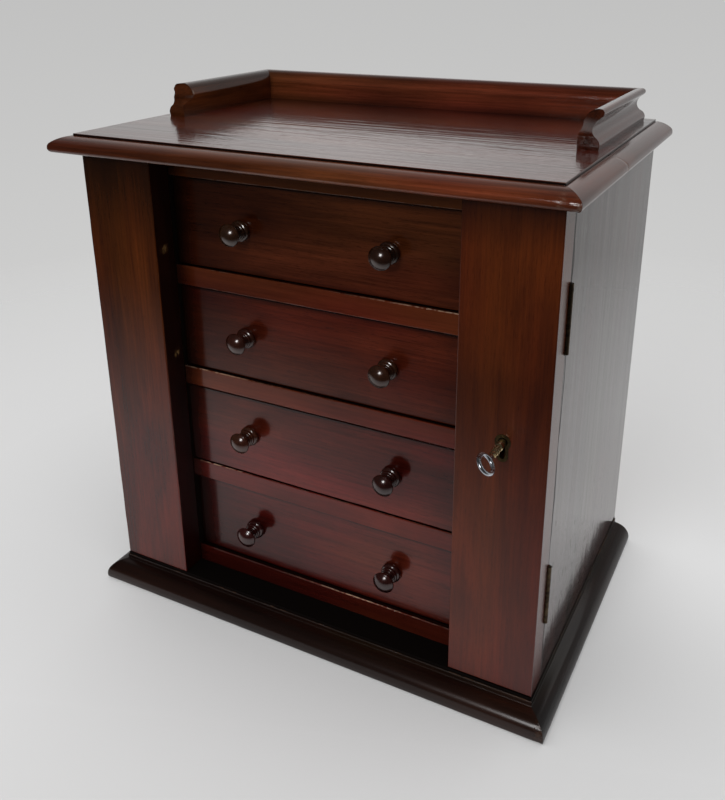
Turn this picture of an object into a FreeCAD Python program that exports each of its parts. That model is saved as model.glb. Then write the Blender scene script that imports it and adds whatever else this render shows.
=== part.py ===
import FreeCAD, Part
import math
import os

from FreeCAD import Vector

# A table-top wellington chest: four drawers between a fixed stile and a hinged, locking stile (the flap).
# Millimetres, +Z up, the front faces -Y, the origin is on the floor at the centre of the overall box.

# Case
case_width = 400.0
case_depth = 271.5
case_floor = 24.2
case_top = 411.0
board = 12.0
back_board = 7.0
partition = 6.0
guide_gap = 0.2
post_depth = 10.0

# Fixed stile and flap
stile_width = 69.0
stile_thickness = 22.5
flap_gap = 0.5
flap_end_gap = 1.0
edge_round = 0.9

# Rails and drawer openings, from the bottom up
drawer_count = 4
opening_height = 75.0
rail_height = 17.0
bottom_rail_height = 17.5
rail_depth = 18.0
runner_width = 10.0
rail_round = 0.6

# Drawers; how far each front lies behind the rails, top drawer first
drawer_setbacks = [4.0, 3.2, 1.5, 4.0]
drawer_gap = 0.6
drawer_lift = 0.4
drawer_front_thickness = 10.0
drawer_board = 6.0
drawer_bottom_thickness = 4.0
drawer_bottom_rise = 3.0
drawer_side_drop = 9.0
drawer_length = 232.0

# Knobs, set by hand: across from the chest's middle, and below the middle of each drawer front,
# left and right knob of each drawer, top drawer first
knob_places = [(-65.5, 65.9), (-65.2, 65.2), (-66.4, 68.9), (-67.9, 68.4)]
knob_drops = [(1.4, 1.2), (0.7, 1.4), (-0.9, 1.4), (3.2, 2.6)]
knob_tenon_radius = 3.0
knob_tenon_length = 8.0
knob_base_radius = 8.8
knob_head_radius = 9.3
knob_rim_reach = 16.2
knob_reach = 21.0
knob_tip = 0.8

# Top, its planted moulding and the gallery
top_thickness = 14.3
top_front_overhang = 6.7
top_back_inset = 4.0
top_quirk = 1.7
top_round = 0.4
moulding_out = 14.6
moulding_nose_up = 4.4
moulding_foot_out = 11.0
gallery_height = 27.0
gallery_foot = 16.1
gallery_round = 11.0
gallery_inner_half = 176.3
gallery_inner_back = 240.3
gallery_front = 102.6

# Plinth
plinth_out = 15.9
plinth_fillet_out = 1.0
plinth_fillet_bottom = 17.4
plinth_height = 22.0
plinth_ledge = 14.0

# Butt hinges of 2 in
hinge_length = 50.8
hinge_from_top = 57.0
hinge_from_bottom = 54.5
knuckle_count = 5
knuckle_radius = 2.1
knuckle_gap = 0.2
pin_radius = 0.9
pin_outside_face = 0.4
leaf_thickness = 1.2
leaf_gap = 0.3
leaf_reach = 11.0
knuckle_relief = 0.6
running_gap = 0.05
fixed_gap = 0.02

# Wood screws
screw_head_radius = 2.4
screw_head_depth = 1.1
screw_shank_radius = 1.2
screw_length = 9.0
screw_slot = 0.5

# Lock and key
key_x = 167.0
key_z = 237.6
key_rest_turn = 40.0
key_barrel_radius = 3.0
key_barrel_end = 8.0
key_shank_radius = 2.0
key_bit_reach = 7.5
key_bit_thickness = 2.2
key_bow_radius = 8.5
key_bow_wire = 1.5
key_bow_centre_out = 32.8
keyhole_radius = 3.6
keyhole_slot_width = 4.0
keyhole_slot_drop = 13.0
escutcheon_rim = 2.4
escutcheon_depth = 3.0
lock_depth = 13.0
lock_wall = 1.2
lock_plate_margin = 6.0
lock_screw_inset = 3.0
bolt_width = 8.0
bolt_thickness = 3.5
bolt_from_key = 3.6
bolt_from_front = 14.0
bolt_gap = 0.45
talon_half = 3.5
stump_radius = 1.2
stump_above_key = 14.0
lug_swing = 2.2
staple_lug = 3.0
staple_reach = 10.0
staple_plate = 1.5
staple_half_width = 12.5
staple_half_height = 6.0
staple_screw_out = 9.5

# Derived places
top_z = case_top + top_thickness
overall_depth = key_bow_centre_out + key_bow_radius + case_depth
front = -overall_depth / 2 + key_bow_centre_out + key_bow_radius
carcass_front = front + stile_thickness
back = front + case_depth
half = case_width / 2
inner_half = half - stile_width
side_inner = half - board
guide_half = inner_half + guide_gap
flap_bottom = case_floor + flap_end_gap
flap_top = case_top - flap_end_gap
flap_back = carcass_front - flap_gap
seam = carcass_front - flap_gap / 2
hinge_x = half + pin_outside_face
up = Vector(0, 0, 1)
right = Vector(1, 0, 0)
rearward = Vector(0, 1, 0)
nodes = {}


def box(x0, x1, y0, y1, z0, z1):
    return Part.makeBox(x1 - x0, y1 - y0, z1 - z0, Vector(x0, y0, z0))


def rod(radius, start, end):
    run = end - start
    return Part.makeCylinder(radius, run.Length, start, run)


def mirrored_box(side, x0, x1, y0, y1, z0, z1):
    """Box between x0 and x1 on the right (side 1), or its mirror image on the left (side -1)."""
    low, high = sorted((side * x0, side * x1))
    return box(low, high, y0, y1, z0, z1)


def face_of(outline, place):
    """Flat face inside an outline. A step of one point is a line, and one of two points is an arc through
    the first to the second. place turns each pair of numbers into a point in space."""
    here = place(outline[0])
    edges = []
    for step in outline[1:]:
        if isinstance(step[0], tuple):
            end = place(step[1])
            edges.append(Part.Arc(here, place(step[0]), end).toShape())
        else:
            end = place(step)
            edges.append(Part.LineSegment(here, end).toShape())
        here = end
    edges.append(Part.LineSegment(here, place(outline[0])).toShape())
    return Part.Face(Part.Wire(edges))


def moulding(profile, start, end, outward, mitre_start, mitre_end):
    """Strip with a profile of (out, up) points along the line from start to end. A mitre of 1 cuts that end
    at 45 degrees, longer on the outside, and 0 leaves it square."""
    spare = 60.0
    run = (end - start).normalize()
    bar_start = start - run * spare
    section = face_of(profile, lambda point: bar_start + outward * point[0] + up * point[1])
    bar = section.extrude(run * ((end - start).Length + 2 * spare))
    corners = []
    for out, base, way, mitre in ((-spare, start, -1, mitre_start), (-spare, end, 1, mitre_end),
                                  (spare, end, 1, mitre_end), (spare, start, -1, mitre_start)):
        corners.append(base + outward * out + run * (way * mitre * out) - up * spare)
    plan = Part.Face(Part.makePolygon(corners + corners[:1]))
    return bar.common(plan.extrude(up * (3 * spare))).Solids[0]


def turned(profile, base, along):
    """Turned piece: (reach, radius) points revolved round the line from base in the direction along."""
    across = along.cross(right) if abs(along.dot(right)) < 0.9 else along.cross(up)
    section = face_of(profile, lambda point: base + along * point[0] + across * point[1])
    return section.revolve(base, along, 360)


def eased(solid, radius, wanted):
    """Round over the edges whose centre passes the test wanted."""
    return solid.makeFillet(radius, [edge for edge in solid.Edges if wanted(edge.CenterOfMass)])


def on_plane(value, plane):
    return abs(value - plane) < 0.01


def screw_profile(gap):
    return [(0, 0), (0, screw_head_radius + gap), (screw_head_depth, screw_shank_radius + gap),
            (screw_length + gap, screw_shank_radius + gap), (screw_length + gap, 0)]


def screw(head, along):
    """Countersunk screw with a slotted head, its head flush at the point head."""
    slot = box(-screw_slot / 2, screw_slot / 2, -2, 2, -4, 4)
    slot.translate(head - along * (2 - screw_slot))
    return turned(screw_profile(0), head, along).cut(slot)


def drilled(solid, heads, along):
    """Countersunk holes for screws whose heads lie at the given points."""
    for head in heads:
        solid = solid.cut(turned(screw_profile(fixed_gap), head, along))
    return solid


# Plinth: an ovolo under a fillet, rebated behind to carry the bottom board
board_bottom = case_floor - board
plinth_profile = [
    (-plinth_ledge, 0), (plinth_out - 0.9, 0), (plinth_out - 0.2, 0.9), (plinth_out, 4.0),
    ((plinth_out - 2.3, 10.8), (6.0, 16.3)), (2.0, plinth_fillet_bottom - 0.2),
    (plinth_fillet_out, plinth_fillet_bottom), (plinth_fillet_out, plinth_height), (0, plinth_height),
    (0, board_bottom), (-plinth_ledge, board_bottom)]
left_front = Vector(-half, front, 0)
right_front = Vector(half, front, 0)
left_back = Vector(-half, back, 0)
right_back = Vector(half, back, 0)
nodes["plinth_front"] = moulding(plinth_profile, left_front, right_front, -rearward, 1, 1)
nodes["plinth_left"] = moulding(plinth_profile, left_front, left_back, -right, 1, 0)
nodes["plinth_right"] = moulding(plinth_profile, right_front, right_back, right, 1, 0)
nodes["plinth_back"] = box(plinth_ledge - half, half - plinth_ledge, back - plinth_ledge, back,
                           0, board_bottom)

# Case: bottom board, sides, back, and the two partitions that guide the drawers
nodes["bottom_board"] = box(-half, half, front, back, board_bottom, case_floor)
nodes["side_left"] = box(-half, -side_inner, carcass_front, back, case_floor, case_top)
nodes["side_right"] = box(side_inner, half, carcass_front, back, case_floor, case_top)
nodes["back_panel"] = box(-side_inner, side_inner, back - back_board, back, case_floor, case_top)
partition_back = back - back_board
for name, side in (("partition_left", -1), ("partition_right", 1)):
    nodes[name] = mirrored_box(side, guide_half, guide_half + partition,
                               carcass_front, partition_back, case_floor, case_top)
nodes["lock_post"] = box(guide_half + partition, side_inner, carcass_front, carcass_front + post_depth,
                         case_floor, case_top)
nodes["stile_left"] = eased(
    box(-half, -inner_half, front, carcass_front, case_floor, case_top), edge_round,
    lambda centre: on_plane(centre.y, front) and on_plane(centre.z, (case_floor + case_top) / 2))

# Rails across the front, with a pair of runners behind each rail that carries a drawer
opening_bottoms = []
rails = []
rail_bottom = case_floor
for number in range(drawer_count):
    rail_top = rail_bottom + (bottom_rail_height if number == 0 else rail_height)
    rails.append((rail_bottom, rail_top))
    opening_bottoms.append(rail_top)
    rail_bottom = rail_top + opening_height
rails.append((rail_bottom, case_top))
rail_names = ["bottom_rail", "drawer_rail_3", "drawer_rail_2", "drawer_rail_1", "top_rail"]
for name, (low, high) in zip(rail_names, rails):
    rail = box(-guide_half, guide_half, carcass_front, carcass_front + rail_depth, low, high)
    nodes[name] = eased(rail, rail_round, lambda centre: on_plane(centre.y, carcass_front)
                        and on_plane(centre.x, 0))
runners = []
for low, high in rails[:-1]:
    for side in (-1, 1):
        runners.append(mirrored_box(side, guide_half - runner_width, guide_half,
                                    carcass_front + rail_depth, partition_back, low, high))
nodes["drawer_runners"] = Part.makeCompound(runners)

# Top board with a thumbnail moulding planted on its front and sides, mitred in front and square at the back
top_front = front - top_front_overhang
top_back = back - top_back_inset
nodes["top_board"] = eased(
    box(-half, half, top_front, top_back, case_top, top_z), top_round,
    lambda centre: on_plane(centre.z, top_z))
thumbnail = [
    (0, 0), (moulding_foot_out, 0), ((moulding_out - 0.7, 1.5), (moulding_out, moulding_nose_up)),
    ((moulding_out - 0.4, 6.4), (moulding_out - 1.6, 8.0)), ((7.2, 11.2), (0, top_thickness - top_quirk))]
top_left_front = Vector(-half, top_front, case_top)
top_right_front = Vector(half, top_front, case_top)
top_left_back = Vector(-half, top_back, case_top)
top_right_back = Vector(half, top_back, case_top)
nodes["top_moulding_front"] = moulding(thumbnail, top_left_front, top_right_front, -rearward, 1, 1)
nodes["top_moulding_right"] = moulding(thumbnail, top_right_front, top_right_back, right, 1, 0)
nodes["top_moulding_left"] = moulding(thumbnail, top_left_front, top_left_back, -right, 1, 0)

# Gallery: an ogee and a roll outside, its upper edge rounded over inside, shaped front ends
round_middle = gallery_round * (1 - math.sqrt(0.5))
ogee = [
    (0, 0), (gallery_foot - 0.6, 0), (gallery_foot, 3.0),
    ((gallery_foot - 1.2, 6.8), (gallery_foot - 4.1, 9.5)),
    ((gallery_foot - 6.3, 15.5), (gallery_foot - 2.6, 21.4)),
    ((gallery_foot - 1.1, 24.4), (gallery_foot - 4.0, gallery_height)),
    (gallery_round, gallery_height),
    ((round_middle, gallery_height - round_middle), (0, gallery_height - gallery_round))]
gallery_back_y = front + gallery_inner_back
gallery_front_y = front + gallery_front
back_corner_left = Vector(-gallery_inner_half, gallery_back_y, top_z)
back_corner_right = Vector(gallery_inner_half, gallery_back_y, top_z)
nodes["gallery_back"] = moulding(ogee, back_corner_left, back_corner_right, rearward, 1, 1)
gallery_length = gallery_inner_back - gallery_front
end_shape = [
    (0.4, 0), (0, 2.5), (0, 8.3), ((1.5, 11.3), (5.4, 13.4)), ((10.0, 17.5), (12.6, 22.5)),
    (13.8, gallery_height), (gallery_length * 2, gallery_height), (gallery_length * 2, 0)]
end_face = face_of(end_shape, lambda point: Vector(-half, gallery_front_y + point[0], top_z + point[1]))
end_solid = end_face.extrude(right * case_width)
for name, side, corner in (("gallery_left", -1, back_corner_left), ("gallery_right", 1, back_corner_right)):
    start = Vector(side * gallery_inner_half, gallery_front_y, top_z)
    strip = moulding(ogee, start, corner, right * side, 0, 1)
    nodes[name] = strip.common(end_solid).Solids[0]

# Flap: the hinged stile on the right that locks the drawers
flap = eased(
    box(inner_half, half, front, flap_back, flap_bottom, flap_top), edge_round,
    lambda centre: on_plane(centre.y, front))

# Butt hinges: two leaves let in flush, and a pin that stays with the case leaf
leaf_inner = half - leaf_reach
leaf_edge = hinge_x - knuckle_radius - leaf_gap
relief_radius = knuckle_radius + knuckle_relief
case_screw_heads = []
flap_screw_heads = []
side_right = nodes["side_right"]


def hinge_leaf(low, plate_near, plate_far, first_knuckle, hole_radius):
    """One leaf: a plate, and every second knuckle rolled round the pin's axis."""
    pitch = hinge_length / knuckle_count
    leaf = box(leaf_inner, leaf_edge, plate_near, plate_far, low, low + hinge_length)
    for index in range(first_knuckle, knuckle_count, 2):
        knuckle_low = low + index * pitch + knuckle_gap / 2
        knuckle_high = low + (index + 1) * pitch - knuckle_gap / 2
        leaf = leaf.fuse(box(leaf_edge, hinge_x, plate_near, plate_far, knuckle_low, knuckle_high))
        leaf = leaf.fuse(rod(knuckle_radius, Vector(hinge_x, seam, knuckle_low),
                             Vector(hinge_x, seam, knuckle_high)))
    bore = rod(hole_radius, Vector(hinge_x, seam, low - 1), Vector(hinge_x, seam, low + hinge_length + 1))
    return leaf.cut(bore).removeSplitter()


hinge_lows = {"top": flap_top - hinge_from_top - hinge_length, "bottom": flap_bottom + hinge_from_bottom}
for place, low in hinge_lows.items():
    high = low + hinge_length
    case_near = seam + leaf_gap / 2
    case_far = case_near + leaf_thickness
    flap_far = seam - leaf_gap / 2
    flap_near = flap_far - leaf_thickness
    screw_x = (leaf_inner + leaf_edge) / 2
    screw_heights = [low + hinge_length * share for share in (0.15, 0.5, 0.85)]
    case_heads = [Vector(screw_x, case_near, height) for height in screw_heights]
    flap_heads = [Vector(screw_x, flap_far, height) for height in screw_heights]
    case_leaf = hinge_leaf(low, case_near, case_far, 0, pin_radius + fixed_gap)
    flap_leaf = hinge_leaf(low, flap_near, flap_far, 1, pin_radius + running_gap)
    nodes["hinge_" + place + "_case_leaf"] = drilled(case_leaf, case_heads, rearward)
    nodes["hinge_" + place + "_flap_leaf"] = drilled(flap_leaf, flap_heads, -rearward)
    pin_low = Vector(hinge_x, seam, low)
    pin_high = Vector(hinge_x, seam, high)
    nodes["hinge_" + place + "_pin"] = rod(pin_radius, pin_low, pin_high)
    relief = rod(relief_radius, pin_low - up * 0.4, pin_high + up * 0.4)
    side_right = side_right.cut(relief).cut(box(leaf_inner, half, carcass_front - 1, case_far, low, high))
    side_right = drilled(side_right, case_heads, rearward)
    flap = flap.cut(relief).cut(box(leaf_inner, half, flap_near, flap_back + 1, low, high))
    flap = drilled(flap, flap_heads, -rearward)
    case_screw_heads += case_heads
    flap_screw_heads += flap_heads
nodes["side_right"] = side_right

# Lock: a shallow box let into the back of the flap, with a bolt that the key lifts through the staple
key_swing = 2 * (90.0 - key_rest_turn)
bolt_travel = 2 * key_bit_reach * math.cos(math.radians(key_rest_turn))
bolt_left = key_x + bolt_from_key
bolt_right = bolt_left + bolt_width
bolt_near = front + bolt_from_front
bolt_far = bolt_near + bolt_thickness
talon_z = key_z - key_bit_reach * math.cos(math.radians(key_rest_turn))
stump_x = (bolt_left + bolt_right) / 2
stump_z = key_z + stump_above_key
slot_half = stump_radius + 0.15
bolt_bottom = talon_z - talon_half - 2.0
bolt_top = stump_z + slot_half + 5.0
lug_bottom = bolt_top + 1.5
lug_top = lug_bottom + staple_lug
lug_left = bolt_left - 2.0
lug_right = bolt_right + 2.0
lug_near = carcass_front - staple_reach

body_left = key_x - 12.0
body_right = lug_right + 2.0
body_bottom = min(bolt_bottom, key_z - keyhole_slot_drop) - 2.5
body_top = bolt_top + bolt_travel + 2.5
lock_near = flap_back - lock_depth
lock_body = box(body_left, body_right, lock_near, flap_back, body_bottom, body_top)
lock_hollow = box(body_left + lock_wall, body_right - lock_wall, lock_near + lock_wall, flap_back - lock_wall,
                  body_bottom + lock_wall, body_top - lock_wall)
plate_left = body_left - lock_plate_margin
plate_right = body_right + lock_plate_margin
plate_bottom = body_bottom - lock_plate_margin
plate_top = body_top + lock_plate_margin
lock_plate = box(plate_left, plate_right, flap_back - lock_wall, flap_back, plate_bottom, plate_top)
lock_outside = lock_body.fuse(lock_plate)
staple_slot = box(lug_left - lug_swing, lug_right + 0.8, flap_back - lock_wall - 1, flap_back + 1,
                  lug_bottom - 1, lug_top + 1)
stump = rod(stump_radius, Vector(stump_x, lock_near, stump_z), Vector(stump_x, bolt_far, stump_z))


def keyhole(margin, near, far):
    """Round hole with a slot below it, made larger all round by margin."""
    hole = rod(keyhole_radius + margin, Vector(key_x, near, key_z), Vector(key_x, far, key_z))
    slot_half_width = keyhole_slot_width / 2 + margin
    slot_end = key_z - keyhole_slot_drop + keyhole_slot_width / 2
    slot = box(key_x - slot_half_width, key_x + slot_half_width, near, far, slot_end, key_z)
    foot = rod(slot_half_width, Vector(key_x, near, slot_end), Vector(key_x, far, slot_end))
    return hole.fuse(slot).fuse(foot).removeSplitter()


lock_heads = []
for screw_at_x in (plate_left + lock_screw_inset, plate_right - lock_screw_inset):
    for screw_at_z in (plate_bottom + lock_screw_inset, plate_top - lock_screw_inset):
        lock_heads.append(Vector(screw_at_x, flap_back, screw_at_z))
lock_case = lock_outside.cut(lock_hollow).cut(staple_slot)
lock_case = lock_case.cut(keyhole(0, lock_near - 1, lock_near + lock_wall + 1))
lock_case = lock_case.fuse(stump).removeSplitter()
nodes["lock_case"] = drilled(lock_case, lock_heads, -rearward)
flap_screw_heads += lock_heads

flap = drilled(flap.cut(lock_outside), lock_heads, -rearward)
flap = flap.cut(keyhole(0, front - 1, lock_near + 1))
escutcheon_bed = keyhole(escutcheon_rim, front - 0.2, front + escutcheon_depth)
nodes["flap_stile"] = flap.cut(escutcheon_bed).removeSplitter()
nodes["keyhole_escutcheon"] = escutcheon_bed.cut(keyhole(0, front - 1, front + escutcheon_depth + 1))

bolt = box(bolt_left, bolt_right, bolt_near, bolt_far, bolt_bottom, bolt_top)
talon = box(bolt_left - 1, key_x + key_bit_reach + 0.6, bolt_near - 1, bolt_far + 1,
            talon_z - talon_half, talon_z + talon_half)
guide_slot = box(stump_x - slot_half, stump_x + slot_half, bolt_near - 1, bolt_far + 1,
                 stump_z - bolt_travel, stump_z)
guide_slot = guide_slot.fuse(rod(slot_half, Vector(stump_x, bolt_near - 1, stump_z),
                                 Vector(stump_x, bolt_far + 1, stump_z)))
guide_slot = guide_slot.fuse(rod(slot_half, Vector(stump_x, bolt_near - 1, stump_z - bolt_travel),
                                 Vector(stump_x, bolt_far + 1, stump_z - bolt_travel)))
nodes["lock_bolt"] = bolt.cut(talon).cut(guide_slot).removeSplitter()

# Staple: a plate screwed to the post, with a lug that enters the lock and takes the bolt
lug_x = (lug_left + lug_right) / 2
lug_z = (lug_bottom + lug_top) / 2
staple_base = box(lug_x - staple_half_width, lug_x + staple_half_width, carcass_front,
                  carcass_front + staple_plate, lug_z - staple_half_height, lug_z + staple_half_height)
lug = box(lug_left, lug_right, lug_near, carcass_front, lug_bottom, lug_top)
lug_eye = box(bolt_left - bolt_gap, bolt_right + bolt_gap, bolt_near - bolt_gap, bolt_far + bolt_gap,
              lug_bottom - 1, lug_top + 1)
staple_heads = [Vector(lug_x + way * staple_screw_out, carcass_front, lug_z) for way in (-1, 1)]
nodes["lock_staple"] = drilled(staple_base.fuse(lug).cut(lug_eye).removeSplitter(), staple_heads, rearward)
nodes["lock_post"] = drilled(nodes["lock_post"].cut(staple_base), staple_heads, rearward)
case_screw_heads += staple_heads
nodes["case_screws"] = Part.makeCompound([screw(head, rearward) for head in case_screw_heads])
nodes["flap_screws"] = Part.makeCompound([screw(head, -rearward) for head in flap_screw_heads])

# Key: ring bow, beaded stem, barrel, shank and bit, turned from the slot to where the bit meets the bolt
key_base = Vector(key_x, front, key_z)
bow_centre = key_base - rearward * key_bow_centre_out
bow_ring = key_bow_radius - key_bow_wire
bow_near = key_bow_centre_out - bow_ring
stem = [
    (-3.0, 0), (-3.0, key_barrel_radius), (key_barrel_end, key_barrel_radius), (8.6, 2.4), (9.6, 1.9),
    (10.2, 2.2), ((11.3, 2.8), (12.4, 2.2)), ((13.7, 2.9), (15.0, 2.2)), ((16.1, 2.8), (17.2, 2.2)),
    (18.0, 2.0), ((19.4, 2.7), (20.8, 2.3)), (22.0, 1.9), (bow_near, 1.7), (bow_near, 0)]
shank = rod(key_shank_radius, key_base, Vector(key_x, flap_back - 2.2, key_z))
bit = box(key_x - key_bit_thickness / 2, key_x + key_bit_thickness / 2, bolt_near - 0.1, bolt_far + 0.1,
          key_z - key_bit_reach, key_z)
bow = Part.makeTorus(bow_ring, key_bow_wire, bow_centre, right)
key = turned(stem, key_base, -rearward).fuse(shank).fuse(bit).fuse(bow)
key.rotate(key_base, -rearward, key_rest_turn)
nodes["key"] = key.removeSplitter()

# Drawers: front, two sides, back, bottom and a pair of turned knobs, numbered from the top
drawer_half = inner_half - drawer_gap
rim = knob_head_radius
knob_profile = [
    (-knob_tenon_length, 0), (-knob_tenon_length, knob_tenon_radius), (0, knob_tenon_radius),
    (0, knob_base_radius - 0.9), ((2.0, knob_base_radius), (4.0, knob_base_radius - 1.2)),
    (4.5, 6.5), ((5.7, 7.3), (6.9, 6.4)), (7.2, 5.8), ((8.1, 6.5), (9.0, 5.7)), (9.3, 5.2),
    ((10.1, 5.8), (10.9, 5.1)), (11.4, 4.8), ((13.2, 7.2), (knob_rim_reach - 1.0, rim - 0.4)),
    ((knob_rim_reach, rim), (knob_rim_reach + 1.0, rim - 0.6)),
    ((knob_reach - 1.2, rim * 0.55), (knob_reach, knob_tip)), (knob_reach, 0)]
for number in range(1, drawer_count + 1):
    label = "drawer_" + str(number) + "_"
    drawer_face = carcass_front + drawer_setbacks[number - 1]
    drawer_inside = drawer_face + drawer_front_thickness
    drawer_end = drawer_face + drawer_length
    low = opening_bottoms[drawer_count - number] + drawer_lift
    high = low + opening_height - 2 * drawer_lift
    side_top = high - drawer_side_drop
    bottom_low = low + drawer_bottom_rise
    bottom_high = bottom_low + drawer_bottom_thickness
    middle = (low + high) / 2
    drawer_front = eased(box(-drawer_half, drawer_half, drawer_face, drawer_inside, low, high), rail_round,
                         lambda centre: on_plane(centre.y, drawer_face))
    knobs = []
    for knob_x, knob_drop in zip(knob_places[number - 1], knob_drops[number - 1]):
        foot = Vector(knob_x, drawer_face, middle - knob_drop)
        knobs.append(turned(knob_profile, foot, -rearward))
        drawer_front = drawer_front.cut(rod(knob_tenon_radius + fixed_gap, foot - rearward,
                                            foot + rearward * (knob_tenon_length + fixed_gap)))
    inner = drawer_half - drawer_board
    nodes[label + "front"] = drawer_front
    nodes[label + "sides"] = Part.makeCompound([
        mirrored_box(side, inner, drawer_half, drawer_inside, drawer_end, low, side_top) for side in (-1, 1)])
    nodes[label + "back"] = box(-inner, inner, drawer_end - drawer_board, drawer_end, bottom_high, side_top)
    nodes[label + "bottom"] = box(-inner, inner, drawer_inside, drawer_end, bottom_low, bottom_high)
    nodes[label + "knobs"] = Part.makeCompound(knobs)

os.makedirs("parts", exist_ok=True)
for name, shape in nodes.items():
    shape.exportStep("parts/" + name + ".step")
print(len(nodes), "nodes; front plane at y", round(front, 3), "; key swing", key_swing,
      "; bolt travel", round(bolt_travel, 3), "; hinge axis at", round(hinge_x, 3), round(seam, 3))
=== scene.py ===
import math

import bpy
import numpy as np
from mathutils import Matrix, Vector


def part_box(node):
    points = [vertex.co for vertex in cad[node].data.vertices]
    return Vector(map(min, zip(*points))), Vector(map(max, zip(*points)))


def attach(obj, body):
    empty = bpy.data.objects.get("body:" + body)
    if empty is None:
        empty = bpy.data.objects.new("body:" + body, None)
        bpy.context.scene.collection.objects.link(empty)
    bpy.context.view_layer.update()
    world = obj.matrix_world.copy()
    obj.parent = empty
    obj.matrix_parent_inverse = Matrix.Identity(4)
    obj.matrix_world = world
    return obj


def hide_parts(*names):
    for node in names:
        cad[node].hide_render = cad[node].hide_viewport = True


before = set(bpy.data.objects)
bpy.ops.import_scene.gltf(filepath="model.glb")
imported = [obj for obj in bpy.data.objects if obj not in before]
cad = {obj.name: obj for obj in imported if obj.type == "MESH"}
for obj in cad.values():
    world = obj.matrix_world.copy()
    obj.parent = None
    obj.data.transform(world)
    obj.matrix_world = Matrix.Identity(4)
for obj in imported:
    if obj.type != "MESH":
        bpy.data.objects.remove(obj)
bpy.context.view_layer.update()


# Plinth
# The moulded base: a mahogany strip run with an ovolo under a fillet, stained nearly black and polished. It
# goes round the front and both sides, mitred in front and glued round the bottom board, which it carries.

scene = bpy.context.scene
mm = 0.001
case_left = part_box("side_left")[0].x
case_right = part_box("side_right")[1].x
case_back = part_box("side_right")[1].y
front_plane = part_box("stile_left")[0].y


def traced(outline, arc_points=16):
    """Points along an outline given in millimetres, in metres. A step of one point is a straight line; a step
    of two is an arc through the first to the second, on the circle whose centre is equally far from all three
    points."""
    points = [np.array(outline[0], float)]
    for step in outline[1:]:
        if not isinstance(step[0], tuple):
            points.append(np.array(step, float))
            continue
        start, middle, end = points[-1], np.array(step[0]), np.array(step[1])
        chords = 2 * np.array([middle - start, end - start])
        centre = np.linalg.solve(chords, [middle @ middle - start @ start, end @ end - start @ start])
        arms = (np.array([start, middle, end]) - centre) @ [1, 1j]
        halfway, whole = np.angle(arms[1:] / arms[0]) % (2 * np.pi)
        sweep = whole if halfway < whole else whole - 2 * np.pi
        turned_arms = arms[0] * np.exp(1j * np.linspace(0, sweep, arc_points)[1:])
        points.extend(centre + np.stack([turned_arms.real, turned_arms.imag], 1))
    return np.array(points) * mm


def softened(outline, spacing, blur):
    """A closed outline walked at equal steps, each point then the Gaussian mean of its neighbours along the
    walk, which rounds the corners as polish and handling do."""
    loop = np.vstack([outline, outline[:1]])
    reached = np.concatenate([[0.0], np.cumsum(np.linalg.norm(np.diff(loop, axis=0), axis=1))])
    count = int(reached[-1] / spacing)
    at = np.arange(count) * reached[-1] / count
    even = np.stack([np.interp(at, reached, loop[:, axis]) for axis in (0, 1)], 1)
    reach = int(3 * blur / spacing) + 1
    offsets = np.arange(-reach, reach + 1)
    weights = np.exp(-0.5 * (offsets * spacing / blur) ** 2)
    weights /= weights.sum()
    return sum(weight * np.roll(even, offset, axis=0) for offset, weight in zip(offsets, weights))


def ripple(points, wavelength, seed):
    """Smooth noise of about -1 to 1 at each point: the sum of sine waves in random directions, with lengths
    near the one given, divided by its usual peak."""
    chance = np.random.default_rng(seed)
    waves, usual_peak = 14, 4.5
    heading = chance.normal(size=(waves, 3))
    heading /= np.linalg.norm(heading, axis=1, keepdims=True)
    rate = 2 * np.pi / (wavelength * chance.uniform(0.6, 1.8, (waves, 1)))
    phase = chance.uniform(0, 2 * np.pi, waves)
    return np.sin(points @ (heading * rate).T + phase).sum(-1) / usual_peak


def strip(profile, start, end, outward, lean_start, lean_end, stations, rub=0.0, dents=(), seed=1):
    """A closed profile of (out, up) points carried along the line from start to end. lean_start and lean_end
    say how far along the line each profile point is shifted at that end, which makes mitres and shaped ends.
    Convex corners are rubbed back by smooth noise, and each dent (place along, spread, depth) presses them in
    by a bell curve. Gives the grid of points and the share of wear at each."""
    sharp_radius = 0.7 * mm
    rub_wave = 30 * mm
    start, end, outward = np.array(start), np.array(end), np.array(outward, float)
    length = np.linalg.norm(end - start)
    run = (end - start) / length
    share = np.linspace(0, 1, stations)[:, None]
    along = share * (length + lean_end) + (1 - share) * lean_start
    out, up = profile.T
    rise = np.array([0.0, 0.0, 1.0])
    points = start + along[..., None] * run + out[:, None] * outward + up[:, None] * rise
    ahead = np.roll(profile, -1, axis=0) - profile
    before = profile - np.roll(profile, 1, axis=0)
    way = ahead + before
    way /= np.linalg.norm(way, axis=1, keepdims=True)
    normal = np.stack([way[:, 1], -way[:, 0]], 1)
    bend = -((ahead - before) * normal).sum(1) / (np.linalg.norm(ahead, axis=1) ** 2)
    convex = np.clip(bend * sharp_radius, 0, 1)
    rubbed = convex * np.clip(ripple(points, rub_wave, seed) * 0.5 + 0.4, 0, 1)
    loss = rub * rubbed
    wear = np.clip(rubbed * 1.6 - 0.5, 0, 1)
    for place, spread, depth in dents:
        bell = np.exp(-((along - place) / spread) ** 2) * np.clip(convex * 3 + 0.15, 0, 1)
        loss = loss + depth * bell
        wear = np.maximum(wear, bell)
    points = points - loss[..., None] * (normal[:, :1] * outward + normal[:, 1:] * rise)
    return points, wear


def ring_quads(rows, columns):
    """Faces of a grid of rows by columns that is closed across its columns."""
    row, column = np.meshgrid(np.arange(rows - 1), np.arange(columns), indexing="ij")
    beside = (column + 1) % columns
    here, above = row * columns, (row + 1) * columns
    return np.stack([here + column, here + beside, above + beside, above + column], -1).reshape(-1, 4)


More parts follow.
